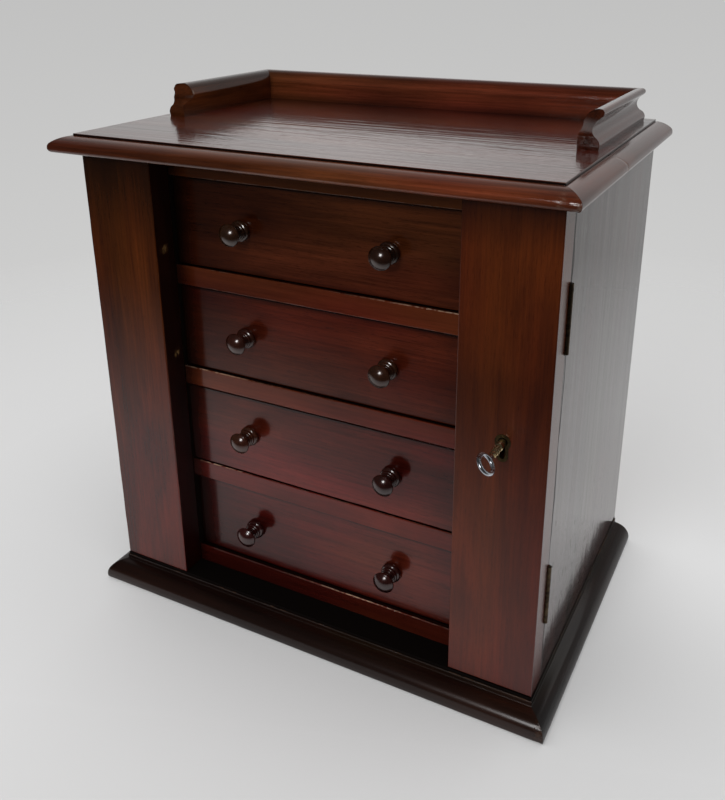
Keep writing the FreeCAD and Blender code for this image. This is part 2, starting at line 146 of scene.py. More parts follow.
def ring_caps(rows, columns):
    """The two many-sided faces that close such a grid at its ends."""
    first = np.arange(columns)
    return [first[::-1], first + (rows - 1) * columns]


def piece(name, points, quads, caps, material, body, slot, replaced, **marks):
    """A closed surface as one mesh at the origin. Its faces are turned outwards by the sign of the volume
    that they enclose, and edges sharper than the crisp angle stay crisp. Each mark, such as wear or
    grime (painted shade, and dirt in a few places), is a number at each point that the material reads."""
    crisp_angle = math.radians(40)
    points = points.reshape(-1, 3)
    fans = [np.stack([np.full(len(cap) - 2, cap[0]), cap[1:-1], cap[2:]], 1) for cap in caps]
    triangles = points[np.vstack([quads[:, [0, 1, 2]], quads[:, [0, 2, 3]], *fans])]
    volume = (np.cross(triangles[:, 0], triangles[:, 1]) * triangles[:, 2]).sum()
    faces = quads.tolist() + [cap.tolist() for cap in caps]
    if volume < 0:
        faces = [face[::-1] for face in faces]
    mesh = bpy.data.meshes.new(name)
    mesh.from_pydata(points.tolist(), [], faces)
    mesh.shade_smooth()
    mesh.set_sharp_from_angle(angle=crisp_angle)
    for mark, values in marks.items():
        layer = mesh.attributes.new(mark, "FLOAT", "POINT")
        layer.data.foreach_set("value", np.ascontiguousarray(values, np.float32).ravel())
    mesh.materials.append(material)
    made = bpy.data.objects.new(name, mesh)
    scene.collection.objects.link(made)
    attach(made, body)
    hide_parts(*replaced)
    return made


def node(tree, kind, settings=None, **sockets):
    """Adds a shader node. A socket's value is a constant, or another node's output to link; in0, in1 and so
    on name a socket by its number."""
    made = tree.nodes.new(kind)
    for key, value in (settings or {}).items():
        setattr(made, key, value)
    for key, value in sockets.items():
        numbered = key[:2] == "in" and key[2:].isdigit()
        socket = made.inputs[int(key[2:])] if numbered else made.inputs[key.replace("_", " ")]
        if isinstance(value, bpy.types.NodeSocket):
            tree.links.new(value, socket)
        else:
            socket.default_value = value
    return made


def blank_material(name):
    """A material, its node tree and its Principled shader."""
    material = bpy.data.materials.new(name)
    material.use_nodes = True
    return material, material.node_tree, material.node_tree.nodes["Principled BSDF"]


def worked_out(tree, operation, *values):
    """The values put through one arithmetic operation, such as their product or the larger of the two."""
    sockets = {"in" + str(number): value for number, value in enumerate(values)}
    return node(tree, "ShaderNodeMath", {"operation": operation}, **sockets).outputs[0]


def grade(tree, value, low, high, out_low, out_high):
    """Maps value from low to high onto out_low to out_high, clamped."""
    graded = node(tree, "ShaderNodeMapRange", in0=value, in1=low, in2=high, in3=out_low, in4=out_high)
    return graded.outputs["Result"]


def mixed(tree, amount, first, second, blend="MIX"):
    """Mixes two colours by amount."""
    settings = {"data_type": "RGBA", "blend_type": blend}
    return node(tree, "ShaderNodeMix", settings, in0=amount, in6=first, in7=second).outputs[2]


def stretched_noise(tree, place, grain, along, across, detail, distortion=0.0):
    """Noise with so many waves per metre along the grain axis (0, 1 or 2 for X, Y or Z) and across it."""
    scale = [across, across, across]
    scale[grain] = along
    laid = node(tree, "ShaderNodeMapping", Vector=place, Scale=scale).outputs["Vector"]
    return node(tree, "ShaderNodeTexNoise", Vector=laid, Scale=1.0, Detail=detail, Roughness=0.6,
                Distortion=distortion).outputs["Fac"]


# Nearly black, used for painted shade, for dirt, and for nicks and the seam's dark edge.
grime_black = (0.003, 0.0015, 0.001, 1.0)


def polished_wood(name, grain, deep, pale, bare=(0.2, 0.1, 0.05), figure=(3.0, 24.0), gloss=0.12, pore=0.25,
                  streak=0.18, wave=0.25, relief=0.12, nicks=0.0, rise=1.0, ridge=(5.0, 14.0), painted_light_by_height=(),
                  seam=None):
    """Wood under a clear polish: a coat over a base that shines a little in its own colour, as mahogany
    fibres do. Noise stretched along the grain gives, from coarse to fine, the drift between burgundy and
    golden brown, which also grows by rise with height, the figure between the deep and the pale colour, the
    streaks and the short dark pores. Each span of painted_light_by_height (from, to, brightness there and
    there) fades the colour with height, painting light and shade onto the piece. The wear mark bares paler
    wood in patches. The grime mark is nearly black, and so are sparse nicks and the ragged edge at
    the Y place seam; that mark is mostly painted shade, and dirt in a few places. Bared patches, nicks and
    seam are pits in the surface, streaks and pores make it uneven, and slow ridges keep reflections from
    being ruler straight. Figure, ridge and the other waves are counted per metre, along the grain and across
    it."""
    burgundy, golden = (0.9, 0.5, 0.8, 1.0), (1.1, 1.9, 1.2, 1.0)
    drift_waves, cloud_waves = (2.5, 9.0), (7.0, 11.0)
    streak_waves, pore_waves = (14.0, 480.0), (130.0, 2400.0)
    patch_waves, nick_waves, seam_waves = (260.0, 420.0), (70.0, 330.0), (18.0, 60.0)
    material, tree, shader = blank_material(name)
    place = node(tree, "ShaderNodeTexCoord").outputs["Object"]
    axes = node(tree, "ShaderNodeSeparateXYZ", Vector=place).outputs

    swirls = stretched_noise(tree, place, grain, *figure, detail=4.0, distortion=1.0)
    figured = node(tree, "ShaderNodeValToRGB", in0=swirls)
    figured.color_ramp.elements[0].position = 0.34
    figured.color_ramp.elements[0].color = (*deep, 1.0)
    figured.color_ramp.elements[1].position = 0.68
    figured.color_ramp.elements[1].color = (*pale, 1.0)
    streaks = stretched_noise(tree, place, grain, *streak_waves, detail=5.0)
    clouds = stretched_noise(tree, place, grain, *cloud_waves, detail=2.0)
    shade = worked_out(tree, "MULTIPLY", grade(tree, streaks, 0.3, 0.7, 1.0 - streak, 1.0 + streak),
                       grade(tree, clouds, 0.3, 0.7, 0.72, 1.2))
    for span in painted_light_by_height:
        shade = worked_out(tree, "MULTIPLY", shade, grade(tree, axes["Z"], *span))
    grey = node(tree, "ShaderNodeCombineColor", in0=shade, in1=shade, in2=shade).outputs["Color"]
    ripeness = worked_out(tree, "MULTIPLY_ADD", axes["Z"], rise,
                          stretched_noise(tree, place, grain, *drift_waves, detail=2.0))
    drift = mixed(tree, grade(tree, ripeness, 0.55, 0.95, 0.0, 1.0), burgundy, golden)
    drifted = mixed(tree, 1.0, figured.outputs["Color"], drift, "MULTIPLY")
    streaked = mixed(tree, 1.0, drifted, grey, "MULTIPLY")
    pores = grade(tree, stretched_noise(tree, place, grain, *pore_waves, detail=1.0), 0.58, 0.70, 0.0, pore)
    pored = mixed(tree, pores, streaked, (*[part * 0.25 for part in deep], 1.0))

    wear = node(tree, "ShaderNodeAttribute", {"attribute_name": "wear"}).outputs["Fac"]
    patches = stretched_noise(tree, place, grain, *patch_waves, detail=3.0)
    patchy = grade(tree, patches, 0.42, 0.56, 0.0, 1.0)
    bared = worked_out(tree, "MULTIPLY", wear, patchy)
    worn = mixed(tree, bared, pored, (*bare, 1.0))
    specks = stretched_noise(tree, place, grain, *nick_waves, detail=1.0)
    scars = grade(tree, specks, 0.71, 0.75, 0.0, nicks)
    if seam is not None:
        waver = stretched_noise(tree, place, grain, *seam_waves, detail=2.0)
        ragged = worked_out(tree, "MULTIPLY_ADD", waver, -10 * mm, axes["Y"])
        scars = worked_out(tree, "MAXIMUM", scars,
                           grade(tree, ragged, seam - 4.5 * mm, seam - 2.5 * mm, 1.0, 0.0))
    grime = node(tree, "ShaderNodeAttribute", {"attribute_name": "grime"}).outputs["Fac"]
    blackened = worked_out(tree, "MAXIMUM", grime, scars)
    coloured = mixed(tree, blackened, worn, grime_black)

    slow = node(tree, "ShaderNodeBump", Strength=wave, Distance=0.6 * mm,
                Height=stretched_noise(tree, place, grain, *ridge, detail=2.0))
    chipped = worked_out(tree, "MULTIPLY_ADD", bared, 0.4, scars)
    pits = node(tree, "ShaderNodeBump", {"invert": True}, Strength=1.0, Distance=0.8 * mm, Height=chipped,
                Normal=slow.outputs["Normal"])
    uneven = worked_out(tree, "SUBTRACT", streaks, pores)
    fine = node(tree, "ShaderNodeBump", Strength=relief, Distance=0.2 * mm, Height=uneven,
                Normal=pits.outputs["Normal"])
    dull = worked_out(tree, "MAXIMUM", bared, blackened)
    rough = worked_out(tree, "MULTIPLY_ADD", dull, 0.3, grade(tree, streaks, 0.3, 0.7, 0.38, 0.48))

    tree.links.new(coloured, shader.inputs["Base Color"])
    tree.links.new(rough, shader.inputs["Roughness"])
    tree.links.new(fine.outputs["Normal"], shader.inputs["Normal"])
    tree.links.new(fine.outputs["Normal"], shader.inputs["Coat Normal"])
    shader.inputs["Metallic"].default_value = 0.4
    shader.inputs["Specular IOR Level"].default_value = 0.0
    shader.inputs["Coat Weight"].default_value = 1.0
    shader.inputs["Coat Roughness"].default_value = gloss
    return material


along_x, along_y, along_z = 0, 1, 2
# The section as (out from the face of the case, up from the floor) in millimetres.
plinth_outline = [
    (-14, 0), (15.0, 0), (15.7, 0.9), (15.9, 4.0), ((13.6, 10.8), (6.0, 16.3)), (2.0, 17.2),
    (1, 17.4), (1, 22), (0, 22), (0, 12.2), (-14, 12.2)]
plinth_profile = softened(traced(plinth_outline), spacing=0.35 * mm, blur=0.35 * mm)
plinth_out = plinth_profile[:, 0]
# A dent is its place along the strip, its spread and its depth.
plinth_dent = [(0.412, 3 * mm, 0.3 * mm)]
plinth_colours = {
    "deep": (0.004, 0.003, 0.0015), "pale": (0.022, 0.013, 0.0045), "bare": (0.09, 0.045, 0.025)}
black_polish_x = polished_wood("black_polish_front", along_x, **plinth_colours, gloss=0.2)
black_polish_y = polished_wood("black_polish_sides", along_y, **plinth_colours, gloss=0.2)
for polish, thickness in ((black_polish_x, 0.8), (black_polish_y, 0.5)):
    polish.node_tree.nodes["Principled BSDF"].inputs["Coat Weight"].default_value = thickness
front_left, front_right = (case_left, front_plane, 0), (case_right, front_plane, 0)
back_left, back_right = (case_left, case_back, 0), (case_right, case_back, 0)
plinth_runs = [
    ("plinth_front", front_left, front_right, (0, -1, 0), plinth_out, black_polish_x, plinth_dent),
    ("plinth_left", front_left, back_left, (-1, 0, 0), 0.0, black_polish_y, []),
    ("plinth_right", front_right, back_right, (1, 0, 0), 0.0, black_polish_y, [])]
for seed, (name, start, end, outward, lean_end, material, dents) in enumerate(plinth_runs):
    points, wear = strip(plinth_profile, start, end, outward, -plinth_out, lean_end, stations=120,
                         rub=0.15 * mm, dents=dents, seed=seed)
    rows, columns = points.shape[:2]
    piece(name + "_moulding", points, ring_quads(rows, columns), ring_caps(rows, columns), material, "case",
          "plinth_mahogany", [name], wear=wear)

# Case
# The box that holds the drawers: polished mahogany sides with upright grain, on a bottom board that shows
# only as a ledge, painted near black as shade. The back, the partitions, the post for the lock, the runners
# and the strip behind the plinth are secondary wood, left bare and gone brown with age, and darkened near
# the front by painted shade.


def finish_node(name, material):
    """Gives a CAD node its material."""
    cad[name].data.materials.clear()
    cad[name].data.materials.append(material)


side_wood = polished_wood("side_mahogany", along_z, (0.012, 0.005, 0.002), (0.07, 0.034, 0.016),
                          figure=(1.2, 70.0), gloss=0.06, streak=0.4, wave=0.4, relief=0.2, nicks=0.9,
                          rise=0.0, ridge=(3.0, 60.0), seam=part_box("side_right")[0].y)
for name in ("side_left", "side_right"):
    finish_node(name, side_wood)
# The bottom board's ledge in the recess is painted near black as shade.
painted_shade_wood, tree, shader = blank_material("painted_shade_wood")
shader.inputs["Base Color"].default_value = grime_black
shader.inputs["Roughness"].default_value = 0.8
shader.inputs["Specular IOR Level"].default_value = 0.08
finish_node("bottom_board", painted_shade_wood)


def bare_wood(name, grain, deep, pale, dark_from, dark_to):
    """Unpolished secondary wood: grain noise between two browns with fine dark streaks, and painted shade
    towards its front edge, where the Y place falls from dark_to to dark_from."""
    recess_shade = (0.005, 0.002, 0.001, 1.0)
    material, tree, shader = blank_material(name)
    place = node(tree, "ShaderNodeTexCoord").outputs["Object"]
    swirls = stretched_noise(tree, place, grain, along=3.0, across=60.0, detail=4.0, distortion=0.6)
    figured = mixed(tree, grade(tree, swirls, 0.35, 0.65, 0.0, 1.0), (*deep, 1.0), (*pale, 1.0))
    streaks = stretched_noise(tree, place, grain, along=12.0, across=700.0, detail=4.0)
    streaked = mixed(tree, grade(tree, streaks, 0.5, 0.7, 0.0, 0.5), figured,
                     (*[part * 0.5 for part in deep], 1.0))
    depth = node(tree, "ShaderNodeSeparateXYZ", Vector=place).outputs["Y"]
    shaded_front = mixed(tree, grade(tree, depth, dark_from, dark_to, 1.0, 0.0), streaked, recess_shade)
    relief = node(tree, "ShaderNodeBump", Strength=0.3, Distance=0.3 * mm, Height=streaks)
    shader.inputs["Specular IOR Level"].default_value = 0.15
    tree.links.new(shaded_front, shader.inputs["Base Color"])
    tree.links.new(grade(tree, streaks, 0.3, 0.7, 0.5, 0.75), shader.inputs["Roughness"])
    tree.links.new(relief.outputs["Normal"], shader.inputs["Normal"])
    return material


# Painted shade on the front edges of the secondary wood, which lie in the recess behind the front.
shade_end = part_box("top_rail")[0].y + 22 * mm
shade_start = shade_end - 6 * mm
carcass_deep, carcass_pale = (0.13, 0.065, 0.03), (0.22, 0.12, 0.06)
carcass_wood = bare_wood("carcass_wood", along_z, carcass_deep, carcass_pale, shade_start, shade_end)
runner_wood = bare_wood("runner_wood", along_y, carcass_deep, carcass_pale, shade_start, shade_end)
for name in ("back_panel", "partition_left", "partition_right", "lock_post"):
    finish_node(name, carcass_wood)
for name in ("drawer_runners", "plinth_back"):
    finish_node(name, runner_wood)

# Fixed stile and rails
# The stile is a thick mahogany board on the left with its arrises just taken off. Five rails are glued across
# the front between the partitions, above, between and below the drawers; years of use have rubbed their edges
# down to pale wood.


def edge_lines(low, high, radius, spacing):
    """Places along one side of a board: close together round the edges, at equal turns of the rounding, then
    one just past it, and spaced evenly between."""
    turns = np.radians(np.linspace(45, 0, 5))
    shoulder = radius + 0.4 * mm
    inner = np.concatenate([radius * (1 - np.tan(turns)), [shoulder]])
    count = max(2, int((high - low - 2 * shoulder) / spacing) + 1)
    middle = np.linspace(low + shoulder, high - shoulder, count + 1)[1:-1]
    return np.concatenate([low + inner, middle, (high - inner)[::-1]])


def board(low, high, radius, spacing, rub, sag, seed):
    """A board with rounded edges. Points over the six faces of its box are pulled into an inner box, smaller
    all round by the radius, and set out again by the radius along the line they were pulled, which leaves
    faces flat and edges round. Noise then rubs the edges back and lets the faces sag a little. Gives points,
    faces and wear."""
    rub_wave, sag_wave = 25 * mm, 120 * mm
    smallest_step = 0.001 * mm
    low, high = np.array(low), np.array(high)
    lines = [edge_lines(low[axis], high[axis], radius, spacing) for axis in range(3)]
    sheets, faces, total = [], [], 0
    for axis in range(3):
        first, second = [other for other in range(3) if other != axis]
        one, two = np.meshgrid(lines[first], lines[second], indexing="ij")
        rows, columns = one.shape
        row, column = np.meshgrid(np.arange(rows - 1), np.arange(columns - 1), indexing="ij")
        corner = (row * columns + column).ravel()
        quads = np.stack([corner, corner + columns, corner + columns + 1, corner + 1], 1)
        for end, place in ((0, low[axis]), (1, high[axis])):
            sheet = np.empty((rows * columns, 3))
            sheet[:, first], sheet[:, second], sheet[:, axis] = one.ravel(), two.ravel(), place
            sheets.append(sheet)
            faces.append((quads if (end == 1) != (axis == 1) else quads[:, ::-1]) + total)
            total += rows * columns
    spread = np.vstack(sheets)
    cells = np.round(spread / smallest_step).astype(np.int64)
    chosen, merged = np.unique(cells, axis=0, return_index=True, return_inverse=True)[1:]
    outer = spread[chosen]
    inner = np.clip(outer, low + radius, high - radius)
    pulled = outer - inner
    normal = pulled / np.linalg.norm(pulled, axis=1, keepdims=True)
    edge = np.sort(np.abs(pulled), axis=1)[:, 1] / radius
    points = inner + radius * normal
    rubbed = edge * np.clip(ripple(points, rub_wave, seed) * 0.6 + 0.35, 0, 1)
    sagged = (1 - edge) * (0.5 + 0.5 * np.tanh(ripple(points, sag_wave, seed + 1)))
    loss = rub * rubbed + sag * sagged
    wear = np.clip(rubbed * 1.8 - 0.4, 0, 1)
    return points - loss[:, None] * normal, merged.ravel()[np.vstack(faces)], wear


def near(place, limit, reach):
    """1 where place is at the limit, falling smoothly to 0 at the distance reach from it."""
    share = np.clip(1 - np.abs(place - limit) / reach, 0, 1)
    return share * share * (3 - 2 * share)


stile_wood = polished_wood("stile_mahogany", along_z, (0.05, 0.006, 0.0012), (0.135, 0.02, 0.004), gloss=0.15,
                           pore=0.4, streak=0.3)
# The stile's inner face takes a darker copy of its wood as painted shade; the chips on it are real wear.
stile_shade = polished_wood("stile_inner_face", along_z, (0.006, 0.0008, 0.0004), (0.03, 0.003, 0.001),
                            bare=(0.5, 0.28, 0.1), gloss=0.3)
stile_low, stile_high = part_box("stile_left")
points, quads, wear = board(stile_low, stile_high, radius=1.0 * mm, spacing=3 * mm, rub=0.25 * mm,
                            sag=0.1 * mm, seed=11)
inner_face = points[:, 0] > stile_high.x - 0.1 * mm
wear = 0.3 * wear
chip_size = 4 * mm
for chip_depth, chip_height in ((10 * mm, 0.334), (14 * mm, 0.24)):
    chip_y = near(points[:, 1], front_plane + chip_depth, chip_size)
    chip_z = near(points[:, 2], chip_height, chip_size)
    wear = np.maximum(wear, 1.3 * (chip_y * chip_z) * inner_face)
# Painted shade under the top moulding, over the upper 120 mm of the stile outside its inner face.
under_top = 0.8 * near(points[:, 2], stile_high.z, 120 * mm) * ~inner_face
stile = piece("stile_left_board", points, quads, [], stile_wood, "case", "stile_mahogany", ["stile_left"],
              wear=np.minimum(wear, 1), grime=under_top)
stile.data.materials.append(stile_shade)
stile.data.polygons.foreach_set("material_index", inner_face[quads].all(axis=1).astype(np.int32))

# The rails are painted lighter lower down, as light from the pale floor.
rail_wood = polished_wood("rail_mahogany", along_x, (0.08, 0.012, 0.004), (0.15, 0.025, 0.01),
                          bare=(0.6, 0.4, 0.27), painted_light_by_height=[(0.15, 0.33, 1.35, 1.0)])
rail_rounding = 0.6 * mm
# Each rail's name, how much painted shade covers it, and the middle and the reach of its most worn stretch.
rails = [
    ("top_rail", 0.3, 0.0, 30 * mm), ("drawer_rail_1", 0.0, 0.13, 110 * mm),
    ("drawer_rail_2", 0.0, -0.12, 90 * mm), ("drawer_rail_3", 0.0, -0.1, 40 * mm),
    ("bottom_rail", 0.65, 0.04, 90 * mm)]
for number, (name, painted_shade, worn_place, worn_reach) in enumerate(rails):
    rail_low, rail_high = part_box(name)
    points, quads, wear = board(rail_low, rail_high, rail_rounding, spacing=3 * mm, rub=0.5 * mm,
                                sag=0.06 * mm, seed=20 + number)
    # Painted shade: the stile's shadow at the left end, a share over the top and bottom rails, and the ledge
    # of the top face behind the front arris.
    left_end = 0.85 * near(points[:, 0], rail_low.x, 24 * mm)
    top_face = points[:, 2] > rail_high.z - 0.65 * mm
    arris = top_face & (points[:, 1] < rail_low.y + 0.5 * mm)
    wear = np.maximum(0.7 * wear, 0.8 * arris * near(points[:, 0], worn_place, worn_reach))
    ledge = 1.0 * (top_face & ~arris)
    piece(name + "_board", points, quads, [], rail_wood, "case", "rail_mahogany", [name], wear=wear,
          grime=np.maximum(np.maximum(left_end, painted_shade * (1 - wear)), ledge))

# Top board and its moulding
# A flat mahogany board with a thumbnail moulding planted on its front and sides, mitred in front and cut
# square at the back. The moulding lies a little lower, so that a quirk runs round the board, whose edges
# carry painted shade; the front right corner is bruised.

top_low, top_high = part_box("top_board")
top_wood = polished_wood("top_mahogany", along_x, (0.045, 0.006, 0.002), (0.11, 0.018, 0.006), gloss=0.06,
                         wave=0.45, relief=0.15, rise=0.4, ridge=(7.0, 150.0))
points, quads, wear = board(top_low, top_high, radius=0.5 * mm, spacing=6 * mm, rub=0.2 * mm, sag=0.08 * mm,
                            seed=31)
# Painted shade on the board's edges in the quirk; the board also darkens towards the gallery at the back.
quirk = 0.95 * (points[:, 2] < top_high.z - 0.4 * mm)
by_gallery = 0.8 * near(points[:, 1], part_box("gallery_back")[0].y, 80 * mm)
piece("top_board_panel", points, quads, [], top_wood, "case", "top_mahogany", ["top_board"], wear=wear,
      grime=np.maximum(quirk, by_gallery))

# The section as (out from the edge of the board, up from its underside) in millimetres.
moulding_outline = [
    (0, 0), (11.0, 0), ((13.9, 1.5), (14.6, 4.4)), ((14.2, 6.4), (13.0, 8.0)), ((7.2, 11.2), (0, 12.6))]
moulding_profile = softened(traced(moulding_outline), spacing=0.35 * mm, blur=0.3 * mm)
moulding_finish = {"bare": (0.4, 0.28, 0.2), "streak": 0.3, "relief": 0.25, "rise": 0.6, "ridge": (8.0, 90.0)}
moulding_wood_x = polished_wood("moulding_mahogany_front", along_x, (0.06, 0.011, 0.004),
                                (0.18, 0.034, 0.015), **moulding_finish)
moulding_wood_y = polished_wood("moulding_mahogany_sides", along_y, (0.04, 0.007, 0.003),
                                (0.15, 0.025, 0.009), **moulding_finish)
out = moulding_profile[:, 0]
corner_dents = [(0.413, 2.5 * mm, 0.7 * mm), (0.402, 1.5 * mm, 0.3 * mm)]
side_dents = [(0.105, 1.5 * mm, 0.4 * mm)]
front_left, front_right = (top_low.x, top_low.y, top_low.z), (top_high.x, top_low.y, top_low.z)
back_left, back_right = (top_low.x, top_high.y, top_low.z), (top_high.x, top_high.y, top_low.z)
corner_x, corner_y = top_high.x + out.max(), top_low.y - out.max()
moulding_runs = [
    ("top_moulding_front", front_left, front_right, (0, -1, 0), out, moulding_wood_x, corner_dents),
    ("top_moulding_right", front_right, back_right, (1, 0, 0), 0.0, moulding_wood_y, side_dents),
    ("top_moulding_left", front_left, back_left, (-1, 0, 0), 0.0, moulding_wood_y, [])]
for seed, (name, start, end, outward, lean_end, material, dents) in enumerate(moulding_runs):
    points, wear = strip(moulding_profile, start, end, outward, -out, lean_end, stations=160, rub=0.12 * mm,
                         dents=dents, seed=40 + seed)
    rows, columns = points.shape[:2]
    upper_slope = 0.25 * near(points[..., 2], top_high.z, 8 * mm)
    bruised = 0.4 * near(points[..., 0], corner_x, 70 * mm) * near(points[..., 1], corner_y, 60 * mm)
    piece(name + "_run", points, ring_quads(rows, columns), ring_caps(rows, columns), material, "case",
          "moulding_mahogany", [name], wear=0.7 * wear, grime=np.maximum(upper_slope, bruised))

# Gallery
# A low fence glued on the top: one moulded mahogany strip, an ogee with a roll outside and rounded over
# inside, mitred at the back corners. Its front ends are cut to a sweep that falls from the roll to the foot.

gallery_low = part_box("gallery_back")[0].z
gallery_rise = 27.0 * mm
level_count = 48
inner_half = 176.3 * mm
inner_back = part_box("gallery_back")[0].y
gallery_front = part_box("gallery_right")[0].y
# The two faces of the section as (out from the inner face, up from the top) in millimetres.
outer_outline = traced([(15.5, 0), (16.1, 3), ((14.9, 6.8), (12.0, 9.5)), ((9.8, 15.5), (13.5, 21.4)),
                        ((15.0, 24.4), (12.1, 27.0))], 24)
inner_outline = traced([(0, 0), (0, 16.0), ((3.22, 23.78), (11.0, 27.0))], 24)
levels = gallery_rise * (0.5 - 0.5 * np.cos(np.linspace(0, np.pi, level_count)))
outer_width = np.interp(levels, outer_outline[:, 1], outer_outline[:, 0])
inner_width = np.interp(levels, inner_outline[:, 1], inner_outline[:, 0])
width = np.concatenate([outer_width, inner_width[::-1]])
gallery_profile = np.stack([width, np.concatenate([levels, levels[::-1]])], 1)
# The sweeps of the front ends, as (set back, height) points: on the inner faces, and outside right and left.
sweep_inside = np.array([(0.4, 0), (0, 2.5), (0, 8.5), (1.5, 10.5), (6, 12), (11, 13.3), (13.5, 15),
                         (14.2, 17.5), (14.5, 20), (14.5, 27)]) * mm
sweep_right = np.array([(0.4, 0), (0, 2.5), (0, 12), (0.5, 12.6), (2, 15), (3, 16.5), (6, 18.5), (9, 20.5),
                        (11, 22.5), (12, 24.5), (13, 27)]) * mm
sweep_left = np.array([(0.4, 0), (0, 2.5), (0, 16.5), (2, 18.5), (5, 21), (8, 24.5), (9, 27)]) * mm
inner_set_back = np.interp(levels[::-1], sweep_inside[:, 1], sweep_inside[:, 0])
right_set_back = np.concatenate([np.interp(levels, sweep_right[:, 1], sweep_right[:, 0]), inner_set_back])
left_set_back = np.concatenate([np.interp(levels, sweep_left[:, 1], sweep_left[:, 0]), inner_set_back])
front_left, front_right = (-inner_half, gallery_front, gallery_low), (inner_half, gallery_front, gallery_low)
back_left, back_right = (-inner_half, inner_back, gallery_low), (inner_half, inner_back, gallery_low)
gallery_runs = [
    ("gallery_back", back_left, back_right, (0, 1, 0), -width, moulding_wood_x),
    ("gallery_left", front_left, back_left, (-1, 0, 0), left_set_back, moulding_wood_y),
    ("gallery_right", front_right, back_right, (1, 0, 0), right_set_back, moulding_wood_y)]
for name, start, end, outward, lean_start, material in gallery_runs:
    points = strip(gallery_profile, start, end, outward, lean_start, width, stations=90)[0]
    rows, columns = points.shape[:2]
    level = np.arange(level_count - 1)
    rung = np.stack([level, level + 1, columns - 2 - level, columns - 1 - level], 1)
    quads = np.vstack([ring_quads(rows, columns), rung[:, ::-1], rung + (rows - 1) * columns])
    height = points[..., 2] - gallery_low
    # The inner face, and outside only the bottom of the hollow.
    sheltered = width < 11.1 * mm
    # Painted shade at the foot of the inner face, where the strip meets the top; the inner face also darkens
    # along its rounded top.
    edges = np.maximum(0.65 * near(height, gallery_rise, 9 * mm), 0.5 * near(height, 0, 8 * mm)) * sheltered
    row = np.arange(rows)[:, None] * np.ones(columns)
    ends = 0.45 * (row == 0)
    # A pale streak where the left strip's front end meets its inner face.
    pale_streak = (name == "gallery_left") * (row == 1) * sheltered * near(height, 19 * mm, 3 * mm)
    piece(name + "_strip", points, quads, [], material, "case", "moulding_mahogany", [name], wear=pale_streak,
          grime=np.maximum(edges, ends) * (1 - pale_streak))

# Drawers
# Four drawers of one size: a mahogany front with grain across, with painted shade at its ends and under the
# rail, and sides, back and bottom of thin pale wood. They slide on the runners between the partitions.

# The fronts are painted lighter lower down, as light from the pale floor, and darker along the bottom of the
# lowest drawer as painted shade.
drawer_wood = polished_wood("drawer_mahogany", along_x, (0.042, 0.0055, 0.002), (0.13, 0.02, 0.009),
                            bare=(0.25, 0.12, 0.06), figure=(2.0, 13.0), pore=0.45, streak=0.3,
                            painted_light_by_height=[(0.08, 0.38, 1.8, 1.5), (0.05, 0.095, 0.65, 1.0)])
drawer_wood.node_tree.nodes["Principled BSDF"].inputs["Metallic"].default_value = 0.85
drawer_top_gap = 0.9 * mm
# The linings' painted shade would lie nearly a metre in front of the chest, so they get none.
lining_wood = bare_wood("drawer_lining", along_y, (0.17, 0.085, 0.04), (0.27, 0.15, 0.075), -1.0, -0.9)
for number in range(1, 5):
    body = "drawer_" + str(number)
    label = body + "_"
    low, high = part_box(label + "front")
    high.z -= drawer_top_gap
    points, quads, wear = board(low, high, radius=0.5 * mm, spacing=2.5 * mm, rub=0.2 * mm, sag=0.08 * mm,
                                seed=60 + number)
    # Painted shade on the front face: the stile's shadow at the left end, and shade at the right end and
    # under the rail above.
    left_end = np.maximum(0.95 * near(points[:, 0], low.x, 34 * mm), 0.5 * near(points[:, 0], low.x, 90 * mm))
    right_end = 0.4 * near(points[:, 0], high.x, 50 * mm)
    under_rail = 0.9 * near(points[:, 2], high.z, 4.5 * mm)
    front_face = points[:, 1] < low.y + 0.4 * mm
    piece(label + "front_board", points, quads, [], drawer_wood, body, "drawer_mahogany", [label + "front"],
          wear=wear * 0.4, grime=front_face * np.maximum(np.maximum(left_end, right_end), under_rail))
    for part in ("sides", "back", "bottom"):
        finish_node(label + part, lining_wood)

# Knobs
# Two to a drawer, turned in dark wood and polished bright: a round foot, three fine beads and a mushroom head
# with a tight rim, on a tenon glued into the drawer front.

# The turned outline as (reach out of the drawer front, radius) in millimetres.
knob_outline = [
    (-8.0, 0.05), (-8.0, 3.0), (0, 3.0), (0, 7.9), ((2.0, 8.8), (4.0, 7.6)),
    (4.5, 6.5), ((5.7, 7.3), (6.9, 6.4)), (7.2, 5.8), ((8.1, 6.5), (9.0, 5.7)), (9.3, 5.2),
    ((10.1, 5.8), (10.9, 5.1)), (11.4, 4.8), ((13.2, 7.2), (15.2, 8.9)), ((16.2, 9.3), (17.2, 8.7)),
    ((19.8, 5.1), (21.0, 0.8)), (21.0, 0.05)]
knob_reach, knob_radius = traced(knob_outline, 14).T
knob_head = knob_radius.max()
knob_facets = 72
around = np.linspace(0, 2 * np.pi, knob_facets, endpoint=False)
knob_wood = polished_wood("knob_polish", along_y, (0.02, 0.004, 0.002), (0.05, 0.01, 0.005), gloss=0.17,
                          wave=0.0)
knob_wood.node_tree.nodes["Principled BSDF"].inputs["Coat IOR"].default_value = 1.75
